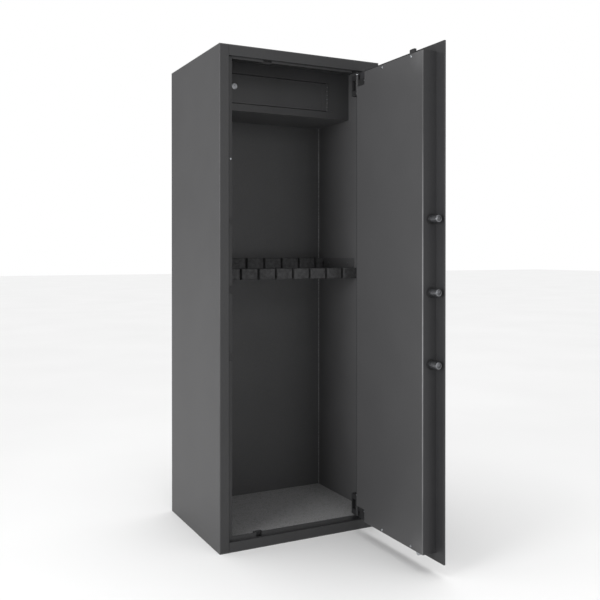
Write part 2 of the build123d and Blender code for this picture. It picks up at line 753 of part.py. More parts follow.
for name, first, x1, x2 in (
    ("frame_hinge_leaf", 0, hinge_x, hinge_x + leaf_width),
    ("door_hinge_leaf", 1, hinge_x - leaf_width, hinge_x),
):
    with BuildPart() as hinge_leaf:
        knuckles(first)
        for step in range(first, knuckle_count, 2):
            low = inner_door_bottom + step * knuckle_length + knuckle_gap
            block(x1, x2, compartment_face - leaf_thickness, compartment_face, low,
                  low + knuckle_length - 2 * knuckle_gap)
        outer_x1 = x1 + (knuckle_radius + 1 if first == 0 else 0)
        outer_x2 = x2 - (knuckle_radius + 1 if first == 1 else 0)
        block(outer_x1, outer_x2, compartment_face - leaf_thickness, compartment_face,
              inner_door_bottom + knuckle_gap, inner_door_top - knuckle_gap)
        rod_z(hinge_x, hinge_y, 0, top, knuckle_pin + (running_gap if first else 0), Mode.SUBTRACT)
    save(hinge_leaf, name)

with BuildPart() as compartment_hinge_pin:
    rod_z(hinge_x, hinge_y, inner_door_bottom, inner_door_top, knuckle_pin)
save(compartment_hinge_pin, "compartment_hinge_pin")

barrel_end = compartment_face + cam_lock_length
with BuildPart() as lock_barrel:
    rod_y(cam_lock_x, cam_lock_z, compartment_face - cam_lock_rim, compartment_face, cam_lock_radius)
    fillet(lock_barrel.faces().sort_by(Axis.Y)[0].edges(), 1)
    rod_y(cam_lock_x, cam_lock_z, compartment_face, barrel_end, cam_lock_radius - cam_lock_wall)
    rod_y(cam_lock_x, cam_lock_z, compartment_face - cam_lock_rim - 1, barrel_end + 1,
          plug_radius + running_gap, Mode.SUBTRACT)
save(lock_barrel, "lock_barrel")

with BuildPart() as lock_nut:
    nut_plane = Plane(origin=(cam_lock_x, compartment_face + thin_sheet, cam_lock_z),
                      x_dir=(1, 0, 0), z_dir=(0, 1, 0))
    with BuildSketch(nut_plane):
        RegularPolygon(nut_radius, 6)
        Circle(cam_lock_radius - cam_lock_wall, mode=Mode.SUBTRACT)
    extrude(amount=nut_thickness)
save(lock_nut, "lock_nut")

tongue_front = compartment_face + inner_door_flange + tongue_gap
with BuildPart() as lock_plug:
    rod_y(cam_lock_x, cam_lock_z, compartment_face - cam_lock_rim + plug_inset, tongue_front, plug_radius)
    block(cam_lock_x - keyway_width / 2, cam_lock_x + keyway_width / 2, compartment_face - cam_lock_rim,
          compartment_face + cam_lock_rim, cam_lock_z - keyway_height / 2,
          cam_lock_z + keyway_height / 2, Mode.SUBTRACT)
save(lock_plug, "lock_plug")

with BuildPart() as lock_tongue:
    block(cam_lock_x - tongue_half_width, cam_lock_x + tongue_half_width,
          tongue_front, tongue_front + thin_sheet,
          cam_lock_z - tongue_length, cam_lock_z + tongue_tail)
    rod_y(cam_lock_x, cam_lock_z, tongue_front + thin_sheet,
          tongue_front + thin_sheet + tongue_screw_head, tongue_screw_radius)
save(lock_tongue, "lock_tongue")

with BuildPart() as lock_keeper:
    keeper_right = -inner_half - inner_gap - 1
    block(keeper_right - keeper_width, keeper_right, compartment_face + thin_sheet, tongue_front - 1,
          cam_lock_z - keeper_half_height, cam_lock_z + keeper_half_height)
save(lock_keeper, "lock_keeper")

# ================================================================ gun rests
rest_low = rest_top - rest_height
back_rest_face = liner_face - rail_width
front_rest_face = front + front_rest_place
front_rail_y = front_rest_face + block_depth
rail_back = back_rest_face - block_depth - rest_end_gap
front_low = rest_low - front_rest_drop + thin_sheet + rest_end_gap
front_high = rest_low


def rest_blocks(pitch, y1, y2, z1, z2):
    """A row of foam blocks from wall to wall, with a barrel slot between each two."""
    edges_x = [inner_left + rest_end_gap]
    for index in range(slot_count):
        slot_x = (index - (slot_count - 1) / 2) * pitch
        edges_x.append(slot_x - slot_width / 2)
        edges_x.append(slot_x + slot_width / 2)
    edges_x.append(inner_right - rest_end_gap)
    for x1, x2 in zip(edges_x[0::2], edges_x[1::2]):
        block(x1, x2, y1, y2, z1, z2)


with BuildPart() as back_rest_bar:
    block(inner_left, inner_right, back_rest_face, back_rest_face + thin_sheet, rest_low, rest_top)
    block(inner_left, inner_right, back_rest_face + thin_sheet, liner_face, rest_low, rest_low + thin_sheet)
save(back_rest_bar, "back_rest_bar")

with BuildPart() as back_rest_blocks:
    rest_blocks(back_slot_pitch, back_rest_face - block_depth, back_rest_face, rest_low, rest_top)
    fillet(back_rest_blocks.edges().filter_by(Axis.Z).filter_by_position(
        Axis.Y, back_rest_face - block_depth - 0.1, back_rest_face - block_depth + 0.1), block_round)
save(back_rest_blocks, "back_rest_blocks")

for name, wall, inward in (("rest_rail_left", inner_left, 1), ("rest_rail_right", inner_right, -1)):
    with BuildPart() as rest_rail:
        x1, x2 = sorted((wall, wall + inward * thin_sheet))
        block(x1, x2, front_rail_y, rail_back, rest_low, rest_top)
        x1, x2 = sorted((wall, wall + inward * rail_width))
        block(x1, x2, front_rail_y, rail_back, rest_low, rest_low + thin_sheet)
    save(rest_rail, name)

with BuildPart() as front_rest_bar:
    bar_left = inner_left + rest_end_gap
    bar_right = inner_right - rest_end_gap
    block(bar_left, bar_right, front_rail_y, front_rail_y + thin_sheet, front_low, front_high)
    block(bar_left, bar_right, front_rail_y + thin_sheet, front_rail_y + rail_width,
          front_high - thin_sheet, front_high)
save(front_rest_bar, "front_rest_bar")

with BuildPart() as front_rest_blocks:
    rest_blocks(front_slot_pitch, front_rest_face, front_rail_y, front_low, front_high + front_block_rise)
    fillet(front_rest_blocks.edges().filter_by(Axis.Z).filter_by_position(
        Axis.Y, front_rest_face - 0.1, front_rest_face + 0.1), block_round)
save(front_rest_blocks, "front_rest_blocks")

with BuildPart() as rest_screws:
    for wall, inward in ((inner_left, 1), (inner_right, -1)):
        for y in (front_rail_y + rest_screw_place, back_rest_face - block_depth - rest_screw_place):
            x = wall + inward * (thin_sheet + rest_screw_head / 2)
            with Locations(Location((x, y, (rest_low + rest_top) / 2), (0, 90, 0))):
                Cylinder(rest_screw_radius, rest_screw_head)
save(rest_screws, "rest_screws")

# ================================================================ floor
with BuildPart() as raised_floor:
    block(inner_left, inner_right, floor_front, liner_face, floor_rise, floor_top)
    block(inner_left, inner_right, floor_front, floor_front + thin_sheet, sheet, floor_rise)
    with Locations((0, 0, floor_rise)):
        with GridLocations(anchor_spacing_x, anchor_spacing_y, 2, 2):
            Cylinder(anchor_radius + anchor_access, 4 * sheet, mode=Mode.SUBTRACT)
save(raised_floor, "raised_floor")

with BuildPart() as floor_mat:
    block(inner_left + 1, inner_right - 1, floor_front, liner_face - 1, floor_top, floor_top + mat_thickness)
save(floor_mat, "floor_mat")
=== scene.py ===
"""Looks for a tall gun safe that stands with its door open at a right angle.

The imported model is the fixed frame.  Everything here dresses its nodes in real
finishes, or stands in for the few nodes whose shape needs more than the frame gives.
"""

import json
import logging
import math
from collections.abc import Callable, Iterator, Sequence
from contextlib import contextmanager
from dataclasses import dataclass
from enum import Enum

import bmesh
import bpy
from mathutils import Matrix, Vector

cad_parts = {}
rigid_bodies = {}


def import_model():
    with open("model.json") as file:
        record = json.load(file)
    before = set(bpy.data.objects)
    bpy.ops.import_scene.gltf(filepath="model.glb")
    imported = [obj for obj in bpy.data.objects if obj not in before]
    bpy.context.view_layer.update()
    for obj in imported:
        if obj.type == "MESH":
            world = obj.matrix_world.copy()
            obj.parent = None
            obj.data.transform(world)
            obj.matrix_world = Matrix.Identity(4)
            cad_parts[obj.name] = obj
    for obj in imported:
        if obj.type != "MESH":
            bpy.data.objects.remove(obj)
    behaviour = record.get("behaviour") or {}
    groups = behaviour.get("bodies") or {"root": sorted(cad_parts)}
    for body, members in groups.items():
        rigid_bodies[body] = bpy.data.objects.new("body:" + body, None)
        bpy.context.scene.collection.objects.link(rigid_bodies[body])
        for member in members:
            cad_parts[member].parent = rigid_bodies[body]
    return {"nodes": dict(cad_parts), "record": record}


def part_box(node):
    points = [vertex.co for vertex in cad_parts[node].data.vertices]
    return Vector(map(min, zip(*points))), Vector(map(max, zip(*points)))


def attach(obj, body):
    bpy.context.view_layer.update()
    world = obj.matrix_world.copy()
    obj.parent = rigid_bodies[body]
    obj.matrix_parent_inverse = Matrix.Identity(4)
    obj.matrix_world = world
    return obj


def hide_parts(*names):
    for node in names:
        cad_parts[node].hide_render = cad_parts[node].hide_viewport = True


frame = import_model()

LOG = logging.getLogger("gun_safe")
MM = 0.001
QUARTER = math.pi / 2

# How a noise pattern's values lie: nearly all of them in the first range, most in the second.
WIDE = (0.3, 0.7)
MIDDLE = (0.35, 0.65)

Colour = tuple[float, float, float, float]
Box = tuple[Vector, Vector]
Tree = bpy.types.NodeTree
Node = bpy.types.Node
Socket = bpy.types.NodeSocket


class Heading(Enum):
    """The way a screw head or a bolt points, as the turn that takes +Z there."""

    LEFT = (0.0, -QUARTER, 0.0)
    RIGHT = (0.0, QUARTER, 0.0)
    FRONT = (QUARTER, 0.0, 0.0)


# ------------------------------------------------------------------ shader nodes
def linear(code: str) -> Colour:
    """Turns an sRGB hex colour into the linear colour that a shader reads.

    Args:
        code: six hex digits, such as "4f4f50".

    Returns:
        Red, green, blue and an alpha of one.
    """
    parts = [int(code[start:start + 2], 16) / 255 for start in (0, 2, 4)]
    straight = [c / 12.92 if c <= 0.04045 else ((c + 0.055) / 1.055) ** 2.4 for c in parts]
    return (straight[0], straight[1], straight[2], 1.0)


def per_mm(size: float) -> float:
    """The texture scale at which one pattern cell is `size` millimetres wide."""
    return 1 / (size * MM)


def bands_per_mm(pitch: float) -> float:
    """The wave texture scale at which one band repeats every `pitch` millimetres."""
    return 2 * math.pi / 20 / (pitch * MM)


def add_node(tree: Tree, kind: str, inputs: dict | list | None = None, **settings: object) -> Node:
    """Adds a shader node, sets it up and wires it.

    Args:
        tree: the node tree to add to.
        kind: the node's type after "ShaderNode", such as "TexNoise".
        inputs: a value or another node's output for each input, by name or number, or as
            a list for the first few in their order.  A MapRange list holds the pattern,
            the range taken from it, and the range that this becomes.
        settings: the node's own settings, by name.

    Returns:
        The new node.
    """
    node = tree.nodes.new(f"ShaderNode{kind}")
    for name, value in settings.items():
        setattr(node, name, value)
    wires = inputs if isinstance(inputs, dict) else dict(enumerate(inputs or ()))
    for name, value in wires.items():
        if isinstance(value, Socket):
            tree.links.new(value, node.inputs[name])
        else:
            node.inputs[name].default_value = value
    return node


# ------------------------------------------------------------------ finishes
@dataclass(frozen=True)
class Finish:
    """A surface finish, whose material is made once and shared."""

    name: str

    def material(self) -> bpy.types.Material:
        """Returns the finish's material, made at the first call."""
        found = bpy.data.materials.get(self.name)
        if found:
            return found
        made = bpy.data.materials.new(self.name)
        made.use_nodes = True
        tree = made.node_tree
        tree.nodes.clear()
        place = add_node(tree, "TexCoord").outputs["Object"]
        shader = self.shade(tree, place)
        add_node(tree, "OutputMaterial", {"Surface": shader.outputs["BSDF"]})
        return made

    def shade(self, tree: Tree, place: Socket) -> Node:
        """Builds the finish's nodes and returns its shader."""
        raise NotImplementedError


@dataclass(frozen=True)
class PowderCoat(Finish):
    """Polyester powder coat sprayed on sheet steel and baked.

    The powder melts into low rounded grains, so a highlight is broad and slightly
    grainy, and the tone drifts a little over a panel where the film is thicker.
    """

    dark: str
    light: str
    gloss: float = 0.46
    grain: float = 1.6
    grain_height: float = 0.09
    drift: float = 140.0

    def tone(self, tree: Tree, place: Socket, grains: Socket) -> Socket:
        """The coat's colour: a slow drift with the grain lightly over it."""
        cloud = add_node(tree, "TexNoise", {"Vector": place, "Scale": per_mm(self.drift)}).outputs["Fac"]
        drift = add_node(tree, "MapRange", [cloud, *MIDDLE, 0.3, 0.5]).outputs[0]
        fine = add_node(tree, "MapRange", [grains, *MIDDLE, -0.3, 0.5]).outputs[0]
        both = add_node(tree, "Math", [drift, fine], operation="ADD", use_clamp=True).outputs[0]
        return add_node(tree, "Mix", {0: both, 6: linear(self.dark), 7: linear(self.light)},
                        data_type="RGBA").outputs[2]

    def shade(self, tree: Tree, place: Socket) -> Node:
        """Builds the coat's colour, grain and gloss."""
        grains = add_node(tree, "TexNoise", {
            "Vector": place, "Scale": per_mm(self.grain), "Detail": 3.0}).outputs["Fac"]
        bump = add_node(tree, "Bump", {
            "Strength": 0.6, "Distance": self.grain_height * MM, "Height": grains})
        gloss = add_node(tree, "MapRange", [grains, *WIDE, self.gloss - 0.05, self.gloss + 0.07])
        return add_node(tree, "BsdfPrincipled", {
            "Base Color": self.tone(tree, place, grains),
            "Roughness": gloss.outputs[0],
            "Normal": bump.outputs["Normal"],
            "IOR": 1.5,
        })


@dataclass(frozen=True)
class CoatWithPaintedHighlights(PowderCoat):
    """The same coat on the door's inner cover, with painted highlights on it.

    Paler patches about the corners at the lock side are painted highlight, standing in
    for light caught near the panel's corners.  A pale line along the folded edge at the
    bolts is a painted highlight of that edge catching the light: `fold` is that edge's
    place along the door and the height below which the highlight is painted, in metres.
    """

    # painted highlight: the paler tone laid about the lock-side corners
    corner_highlight_tone: str = "5e5e5f"
    corners: tuple[tuple[float, float, float], ...] = ()
    reach: float = 70.0
    fold: tuple[float, float] = (0.0, 0.0)
    # painted highlight: the pale tone laid along the folded edge
    fold_highlight_tone: str = "8e8e90"
    fold_reach: float = 4.0
    fold_patch: float = 90.0

    def tone(self, tree: Tree, place: Socket, grains: Socket) -> Socket:
        """The coat's colour, with painted highlights about each corner and along the fold."""
        tone = super().tone(tree, place, grains)
        for share, colour in ((self.painted_corner_highlight(tree, place), self.corner_highlight_tone),
                              (self.painted_fold_highlight(tree, place), self.fold_highlight_tone)):
            tone = add_node(tree, "Mix", {0: share, 6: tone, 7: linear(colour)},
                            data_type="RGBA").outputs[2]
        return tone

    def painted_corner_highlight(self, tree: Tree, place: Socket) -> Socket:
        """How strong the painted highlight about the corners is, from 0 to 1."""
        cloud = add_node(tree, "TexNoise", {"Vector": place, "Scale": per_mm(self.reach / 3)}).outputs["Fac"]
        uneven = add_node(tree, "MapRange", [cloud, *WIDE, 0.6, 1.1]).outputs[0]
        corner_highlight = 0.0
        # painted highlight about each corner, fading with distance from it
        for corner in self.corners:
            apart = add_node(tree, "VectorMath", [place, corner], operation="DISTANCE").outputs["Value"]
            near = add_node(tree, "MapRange", [apart, 0.0, self.reach * MM, 0.75, 0.0]).outputs[0]
            patch = add_node(tree, "Math", [near, uneven], operation="MULTIPLY", use_clamp=True).outputs[0]
            corner_highlight = add_node(tree, "Math", [corner_highlight, patch], operation="MAXIMUM").outputs[0]
        return corner_highlight

    def painted_fold_highlight(self, tree: Tree, place: Socket) -> Socket:
        """How strong the painted highlight along the folded edge is, from 0 to 1."""
        edge, top = self.fold
        parts = add_node(tree, "SeparateXYZ", [place]).outputs
        aside = add_node(tree, "Math", [parts["Y"], edge], operation="SUBTRACT").outputs[0]
        apart = add_node(tree, "Math", [aside], operation="ABSOLUTE").outputs[0]
        cloud = add_node(tree, "TexNoise", {
            "Vector": place, "Scale": per_mm(self.fold_patch)}).outputs["Fac"]
        # painted highlight along the folded edge, strongest within fold_reach of it
        fold_highlight = add_node(tree, "MapRange", [apart, 0.0, self.fold_reach * MM, 1.0, 0.0]).outputs[0]
        for limits in (
            [parts["Z"], top - 0.35, top, 1.0, 0.0],  # fades out over the last 350 mm
            [parts["Z"], 0.1, 0.5, 0.25, 1.0],  # fainter below knee height
            [cloud, *WIDE, 0.55, 1.0],
        ):
            share = add_node(tree, "MapRange", limits).outputs[0]
            fold_highlight = add_node(tree, "Math", [fold_highlight, share], operation="MULTIPLY").outputs[0]
        return fold_highlight


@dataclass(frozen=True)
class PlatedSteel(Finish):
    """Bright zinc plating on pressed and turned steel.

    Zinc grows in small crystals, so the metal glints unevenly, cool and slightly blue.
    """

    dull: str = "9a9da1"
    bright: str = "d2d5d9"
    crystal: float = 1.4
    roughness: float = 0.33

    def shade(self, tree: Tree, place: Socket) -> Node:
        """Builds the crystals' tone, gloss and very low relief."""
        crystals = add_node(tree, "TexVoronoi", {"Vector": place, "Scale": per_mm(self.crystal)})
        tone = add_node(tree, "Mix", {
            0: crystals.outputs["Color"], 6: linear(self.dull), 7: linear(self.bright)}, data_type="RGBA")
        haze = add_node(tree, "TexNoise", {"Vector": place, "Scale": per_mm(9.0), "Detail": 4.0})
        gloss = add_node(tree, "MapRange", [
            haze.outputs["Fac"], *WIDE, self.roughness - 0.08, self.roughness + 0.1])
        bump = add_node(tree, "Bump", {
            "Strength": 0.35, "Distance": 0.03 * MM, "Height": crystals.outputs["Distance"]})
        return add_node(tree, "BsdfPrincipled", {
            "Base Color": tone.outputs[2],
            "Metallic": 1.0,
            "Roughness": gloss.outputs[0],
            "Normal": bump.outputs["Normal"],
        })


@dataclass(frozen=True)
class TurnedSteel(Finish):
    """Round steel bar turned on a lathe and polished, left bare.

    The tool leaves rings along the bar, which break a highlight into fine bands.
    They are drawn wider than the real quarter millimetre, so that they show.
    """

    shadow: str = "57585a"
    shine: str = "8a8b8e"
    feed: float = 1.3
    roughness: float = 0.34

    def shade(self, tree: Tree, place: Socket) -> Node:
        """Builds the tool rings' tone and relief."""
        rings = add_node(tree, "TexWave", {
            "Vector": place, "Scale": bands_per_mm(self.feed), "Distortion": 0.6, "Detail": 2.0,
        }, wave_type="BANDS", bands_direction="Y").outputs["Fac"]
        oil = add_node(tree, "TexNoise", {"Vector": place, "Scale": per_mm(6.0), "Detail": 3.0})
        tone = add_node(tree, "Mix", {
            0: oil.outputs["Fac"], 6: linear(self.shadow), 7: linear(self.shine)}, data_type="RGBA")
        gloss = add_node(tree, "MapRange", [rings, 0.0, 1.0, self.roughness, self.roughness + 0.1])
        bump = add_node(tree, "Bump", {"Strength": 0.3, "Distance": 0.02 * MM, "Height": rings})
        return add_node(tree, "BsdfPrincipled", {
            "Base Color": tone.outputs[2],
            "Metallic": 1.0,
            "Roughness": gloss.outputs[0],
            "Normal": bump.outputs["Normal"],
        })


@dataclass(frozen=True)
class MouldedNylon(Finish):
    """Black nylon, moulded with a fine matt texture.

    The mould's texture scatters the light, so the plastic looks soft and dry beside the steel.
    """

    dark: str = "101011"
    light: str = "1a1a1b"
    texture: float = 1.2

    def shade(self, tree: Tree, place: Socket) -> Node:
        """Builds the moulded texture and its slight change of tone."""
        grain = add_node(tree, "TexNoise", {"Vector": place, "Scale": per_mm(self.texture)}).outputs["Fac"]
        tone = add_node(tree, "Mix", {
            0: grain, 6: linear(self.dark), 7: linear(self.light)}, data_type="RGBA")
        bump = add_node(tree, "Bump", {"Strength": 0.4, "Distance": 0.05 * MM, "Height": grain})
        return add_node(tree, "BsdfPrincipled", {
            "Base Color": tone.outputs[2],
            "Roughness": 0.55,
            "Normal": bump.outputs["Normal"],
            "IOR": 1.53,
        })


@dataclass(frozen=True)
class SatinChrome(Finish):
    """Satin chrome plating over a brushed zinc casting.

    The brushing runs one way, so reflections smear softly across it.
    """

    shadow: str = "a9abaf"
    shine: str = "cfd1d4"
    stroke: float = 0.9

    def shade(self, tree: Tree, place: Socket) -> Node:
        """Builds the brush strokes' tone and relief."""
        stretched = add_node(tree, "Mapping", {"Vector": place, "Scale": (1.0, 0.06, 1.0)})
        strokes = add_node(tree, "TexNoise", {
            "Vector": stretched.outputs["Vector"], "Scale": per_mm(self.stroke),
            "Detail": 4.0}).outputs["Fac"]
        tone = add_node(tree, "Mix", {
            0: strokes, 6: linear(self.shadow), 7: linear(self.shine)}, data_type="RGBA")
        gloss = add_node(tree, "MapRange", [strokes, *WIDE, 0.24, 0.36])
        bump = add_node(tree, "Bump", {"Strength": 0.3, "Distance": 0.02 * MM, "Height": strokes})
        return add_node(tree, "BsdfPrincipled", {
            "Base Color": tone.outputs[2],
            "Metallic": 1.0,
            "Roughness": gloss.outputs[0],
            "Normal": bump.outputs["Normal"],
        })


@dataclass(frozen=True)
class WornBrass(Finish):
    """Nickel-plated brass key, with the warm brass showing where it is handled."""

    plating: str = "bdbab2"
    brass: str = "c39b55"

    def shade(self, tree: Tree, place: Socket) -> Node:
        """Builds the worn patches and the fine scratches."""
        patches = add_node(tree, "TexNoise", {"Vector": place, "Scale": per_mm(5.0), "Detail": 5.0})
        wear = add_node(tree, "MapRange", [patches.outputs["Fac"], 0.42, 0.58, 0.0, 1.0])
        tone = add_node(tree, "Mix", {
            0: wear.outputs[0], 6: linear(self.plating), 7: linear(self.brass)}, data_type="RGBA")
        scratches = add_node(tree, "TexNoise", {
            "Vector": place, "Scale": per_mm(0.7), "Detail": 4.0}).outputs["Fac"]
        gloss = add_node(tree, "MapRange", [scratches, *WIDE, 0.22, 0.38])
        bump = add_node(tree, "Bump", {"Strength": 0.3, "Distance": 0.02 * MM, "Height": scratches})
        return add_node(tree, "BsdfPrincipled", {
            "Base Color": tone.outputs[2],
            "Metallic": 1.0,
            "Roughness": gloss.outputs[0],
            "Normal": bump.outputs["Normal"],
        })


@dataclass(frozen=True)
class ClosedCellFoam(Finish):
    """Dark closed-cell foam, cut from sheet.

    The cut opens a skin of small round cells, which swallow light and leave a dry,
    faintly speckled surface.  Cells are drawn at 2 mm, coarser than real, so they show.
    """

    pit: str = "202021"
    skin: str = "454546"
    cell: float = 2.0

    def shade(self, tree: Tree, place: Socket) -> Node:
        """Builds the open cells and the uneven tone of the cut."""
        cells = add_node(tree, "TexVoronoi", {
            "Vector": place, "Scale": per_mm(self.cell)}).outputs["Distance"]
        cloud = add_node(tree, "TexNoise", {"Vector": place, "Scale": per_mm(12.0), "Detail": 3.0})
        uneven = add_node(tree, "MapRange", [cloud.outputs["Fac"], *MIDDLE, 0.0, 0.5])
        both = add_node(tree, "Math", [cells, 0.6, uneven.outputs[0]], operation="MULTIPLY_ADD",
                        use_clamp=True)
        tone = add_node(tree, "Mix", {
            0: both.outputs[0], 6: linear(self.pit), 7: linear(self.skin)}, data_type="RGBA")
        bump = add_node(tree, "Bump", {"Strength": 0.7, "Distance": 0.3 * MM, "Height": cells})
        return add_node(tree, "BsdfPrincipled", {
            "Base Color": tone.outputs[2],
            "Roughness": 0.85,
            "Normal": bump.outputs["Normal"],
            "IOR": 1.45,
        })


@dataclass(frozen=True)
class LoopedCarpet(Finish):
    """Grey needle-felt carpet with a low looped face.

    Light and dark fibres are felted together, so it reads as mottled grey with
    paler crowns on the loops and dark between them.
    """

    gap: str = "4b4b4c"
    crown: str = "8f8f90"
    fleck: str = "6a6a6b"
    loop: float = 3.2
    mottle: float = 16.0

    def shade(self, tree: Tree, place: Socket) -> Node:
        """Builds the loops, the mottle and the soft fuzz."""
        loops = add_node(tree, "TexVoronoi", {"Vector": place, "Scale": per_mm(self.loop)},
                         feature="SMOOTH_F1").outputs["Distance"]
        crowns = add_node(tree, "MapRange", [loops, 0.0, 0.6, 0.85, 0.0]).outputs[0]
        tufts = add_node(tree, "Mix", {0: crowns, 6: linear(self.gap), 7: linear(self.crown)},
                         data_type="RGBA").outputs[2]
        cloud = add_node(tree, "TexNoise", {"Vector": place, "Scale": per_mm(self.mottle), "Detail": 5.0})
        mottle = add_node(tree, "MapRange", [cloud.outputs["Fac"], 0.4, 0.6, 0.1, 0.8]).outputs[0]
        tone = add_node(tree, "Mix", {0: mottle, 6: tufts, 7: linear(self.fleck)}, data_type="RGBA")
        fibres = add_node(tree, "TexNoise", {"Vector": place, "Scale": per_mm(0.8), "Detail": 4.0})
        bump = add_node(tree, "Bump", {
            "Strength": 0.8, "Distance": 0.5 * MM, "Height": fibres.outputs["Fac"]})
        return add_node(tree, "BsdfPrincipled", {
            "Base Color": tone.outputs[2],
            "Roughness": 0.95,
            "Normal": bump.outputs["Normal"],
            "Sheen Weight": 0.25,
            "Sheen Roughness": 0.6,
            "Specular IOR Level": 0.2,
        })


# ------------------------------------------------------------------ bench tools
def pick_up(piece: bpy.types.Object) -> None:
    """Makes one piece the only selected and active object."""
    bpy.ops.object.select_all(action="DESELECT")
    piece.select_set(True)
    bpy.context.view_layer.objects.active = piece


def start(name: str, primitive: Callable, **size: object) -> bpy.types.Object:
    """Adds a primitive for a piece to be worked from, its place in its mesh.

    Args:
        name: the piece's name.
        primitive: the operator that adds it.
        size: the operator's own arguments, in metres.

    Returns:
        The new object.
    """
    bpy.ops.object.select_all(action="DESELECT")
    primitive(**size)
    piece = bpy.context.object
    piece.name = name
    piece.data.name = name
    bpy.ops.object.transform_apply()
    return piece


def start_block(name: str, low: Vector, high: Vector) -> bpy.types.Object:
    """Adds a rectangular block between two corners for a piece to be worked from."""
    block = start(name, bpy.ops.mesh.primitive_cube_add, size=1.0)
    block.scale = high - low
    block.location = (low + high) / 2
    bpy.ops.object.transform_apply()
    return block


@contextmanager
def editing(piece: bpy.types.Object, part: str = "FACE") -> Iterator[None]:
    """Opens a piece in edit mode with nothing selected, and closes it after."""
    pick_up(piece)
    bpy.ops.object.mode_set(mode="EDIT")
    bpy.ops.mesh.select_mode(type=part)
    bpy.ops.mesh.select_all(action="DESELECT")
    yield
    bpy.ops.object.mode_set(mode="OBJECT")


def choose(piece: bpy.types.Object, kind: str, rule: Callable[..., bool]) -> None:
    """Selects just what a rule holds for, while a piece is being edited.

    Args:
        piece: the piece being edited.
        kind: "faces", "edges" or "verts".
        rule: tells whether one of them is to be selected.
    """
    mesh = bmesh.from_edit_mesh(piece.data)
    elements = getattr(mesh, kind)
    for element in elements:
        element.select_set(False)
    for element in elements:
        if rule(element):
            element.select_set(True)
    bmesh.update_edit_mesh(piece.data)


def modify(piece: bpy.types.Object, kind: str, **settings: object) -> None:
    """Adds a modifier to a piece and applies it."""
    modifier = piece.modifiers.new(kind.lower(), kind)
    for name, value in settings.items():
        setattr(modifier, name, value)
    pick_up(piece)
    bpy.ops.object.modifier_apply(modifier=modifier.name)


def cut(piece: bpy.types.Object, tool: bpy.types.Object) -> None:
    """Takes a tool's shape out of a piece and puts the tool away."""
    modify(piece, "BOOLEAN", operation="DIFFERENCE", solver="EXACT", object=tool)
    bpy.data.objects.remove(tool)


def copy_to(pattern: bpy.types.Object, matrix: Matrix) -> bpy.types.Object:
    """Copies a piece, with its own mesh, to another place."""
    twin = pattern.copy()
    twin.data = pattern.data.copy()
    twin.data.transform(matrix)
    bpy.context.scene.collection.objects.link(twin)
    return twin


def join(pieces: Sequence[bpy.types.Object], name: str) -> bpy.types.Object:
    """Makes one piece of several and names it."""
    pick_up(pieces[0])
    for piece in pieces:
        piece.select_set(True)
    bpy.ops.object.join()
    joined = bpy.context.object
    joined.name = name
    joined.data.name = name
    return joined


def smooth(piece: bpy.types.Object, angle: float = 35.0) -> None:
    """Shades a piece smooth, but for its edges sharper than an angle in degrees."""
    pick_up(piece)
    bpy.ops.object.shade_smooth_by_angle(angle=math.radians(angle))


def hand_in(piece: bpy.types.Object, finish: Finish, body: str, slot: str,
            *stands_for: str) -> bpy.types.Object:
    """Dresses a finished piece and puts it on its body.

    Args:
        piece: the finished piece, its place in its mesh.
        finish: what it is dressed in.
        body: the body that it moves with.
        slot: the record's material slot for its finish; not used.
        stands_for: the frame's nodes that it is shown instead of.

    Returns:
        The same piece.
    """
    piece.data.materials.clear()
    piece.data.materials.append(finish.material())
    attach(piece, body)
    if stands_for:
        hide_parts(*stands_for)
    LOG.info("%s: %d faces, %s, on %s", piece.name, len(piece.data.polygons), finish.name, body)
    return piece


def solids(node: str) -> list[Box]:
    """The boxes of a node's separate solids, lowest first, then left to right.

    Args:
        node: the frame node's name.

    Returns:
        The lowest and highest corner of each solid, in metres.
    """
    mesh = bmesh.new()
    mesh.from_mesh(frame["nodes"][node].data)
    bmesh.ops.remove_doubles(mesh, verts=mesh.verts, dist=0.01 * MM)
    waiting = set(mesh.verts)
    boxes = []
    while waiting:
        group = {waiting.pop()}
        edge_of_group = set(group)
        while edge_of_group:
            vertex = edge_of_group.pop()
            beside = {link.other_vert(vertex) for link in vertex.link_edges} - group
            group |= beside
            edge_of_group |= beside
        waiting -= group
        corners = [[vertex.co[axis] for vertex in group] for axis in range(3)]
        boxes.append((Vector([min(c) for c in corners]), Vector([max(c) for c in corners])))
    mesh.free()
    return sorted(boxes, key=lambda box: (round(box[0].z, 3), round(box[0].y, 3), box[0].x))


